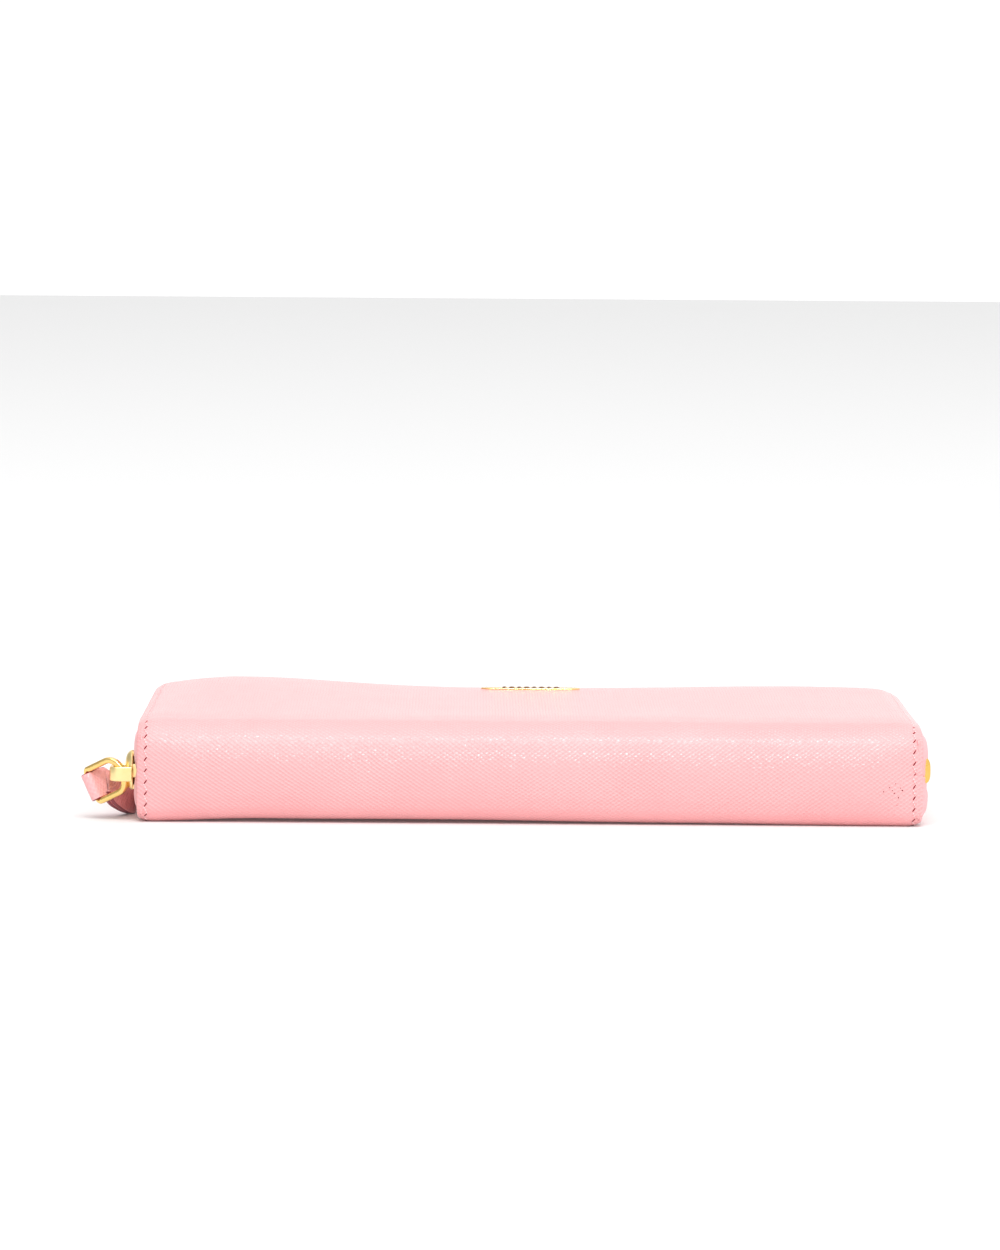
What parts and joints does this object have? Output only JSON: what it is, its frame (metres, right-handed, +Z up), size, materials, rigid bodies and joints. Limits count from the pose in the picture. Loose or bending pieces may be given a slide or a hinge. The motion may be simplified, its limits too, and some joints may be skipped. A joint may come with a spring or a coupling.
{
  "type": "zip-around wristlet wallet",
  "caption": "Flat rectangular zip-around wallet with soft corners, a folding spine, inner card rows, a coin pocket, and a side slider carrying a D-ring and wrist strap.",
  "frame": {"origin": "centre of the back cover's flat resting face", "axes": "+X along the spine, +Y from the spine towards the far zip side, +Z up through the closed wallet"},
  "size_m": [0.2113, 0.124, 0.0276],
  "materials": {
    "outer_leather": "cross-hatch grained, semi-gloss",
    "inner_leather": "smooth, satin",
    "board_stock": "plain",
    "tape": "woven",
    "pocket_cloth": "woven",
    "gold_metal": "polished"
  },
  "bodies": {
    "back_cover": {"leather_back_panel": "outer_leather", "board_back": "board_stock", "lining_back": "inner_leather", "card_pocket_back_1": "inner_leather", "card_pocket_back_2": "inner_leather", "card_pocket_back_3": "inner_leather", "card_pocket_back_4": "inner_leather", "zip_tape_lower": "tape", "zip_chain_lower": "gold_metal", "gusset_lower_left": "inner_leather", "gusset_lower_right": "inner_leather"},
    "spine": {"leather_spine": "outer_leather", "spine_reinforcement": "board_stock", "lining_spine": "inner_leather", "zip_bottom_stop": "gold_metal", "coin_pocket": "pocket_cloth", "coin_zip_chain_lower": "gold_metal", "coin_zip_tape_lower": "tape", "coin_zip_chain_upper": "gold_metal", "coin_zip_tape_upper": "tape", "coin_zip_stop_left": "gold_metal", "coin_zip_stop_right": "gold_metal", "gusset_upper_left": "inner_leather", "gusset_upper_right": "inner_leather"},
    "front_cover": {"leather_front_panel": "outer_leather", "board_front": "board_stock", "lining_front": "inner_leather", "card_pocket_front_1": "inner_leather", "card_pocket_front_2": "inner_leather", "card_pocket_front_3": "inner_leather", "card_pocket_front_4": "inner_leather", "zip_tape_upper": "tape", "zip_chain_upper": "gold_metal", "ornament_bar": "gold_metal"},
    "zip_slider": {"zip_slider": "gold_metal", "slider_bridge": "gold_metal"},
    "d_ring": {"d_ring": "gold_metal"},
    "strap_fold": {"strap_fold": "outer_leather"},
    "wrist_strap": {"wrist_strap": "outer_leather"},
    "coin_slider": {"coin_slider": "gold_metal", "coin_slider_bridge": "gold_metal"},
    "coin_pull": {"coin_pull_ring": "gold_metal", "coin_pull_tab": "outer_leather"}
  },
  "joints": [
    {"name": "spine_fold", "type": "hinge", "parent": "back_cover", "child": "spine", "pos_m": [0, -0.0515, 0], "axis": [1, 0, 0], "range_deg": [0, 30], "deforming": ["gusset_lower_left", "gusset_lower_right"]},
    {"name": "cover_fold", "type": "hinge", "parent": "spine", "child": "front_cover", "pos_m": [0, -0.0515, 0.026], "axis": [1, 0, 0], "range_deg": [0, 30], "deforming": ["gusset_upper_left", "gusset_upper_right"]},
    {"name": "zip_slide", "type": "slide", "parent": "back_cover", "child": "zip_slider", "axis": [0, 1, 0], "range_m": [0, 0.073]},
    {"name": "ring_swing", "type": "hinge", "parent": "zip_slider", "child": "d_ring", "pos_m": [-0.101, -0.0463, 0.0121], "axis": [0, 0, 1], "range_deg": [0, 30]},
    {"name": "strap_turn", "type": "hinge", "parent": "d_ring", "child": "strap_fold", "pos_m": [-0.10897, -0.04371, 0.00871], "axis": [-0.3563, 0.1158, 0.9272], "range_deg": [0, 5]},
    {"name": "strap_bend", "type": "hinge", "parent": "strap_fold", "child": "wrist_strap", "pos_m": [-0.09995, -0.02925, 0.0035], "axis": [0, 0, 1], "range_deg": [0, 30]},
    {"name": "coin_slide", "type": "slide", "parent": "spine", "child": "coin_slider", "axis": [1, 0, 0], "range_m": [0, 0.155]},
    {"name": "coin_pull_swing", "type": "hinge", "parent": "coin_slider", "child": "coin_pull", "pos_m": [-0.081, 0.0274, 0.0128], "axis": [0, 0, 1], "range_deg": [0, 130]}
  ],
  "couplings": [
    {"joint": "cover_fold", "follows": "spine_fold", "ratio": 1}
  ]
}
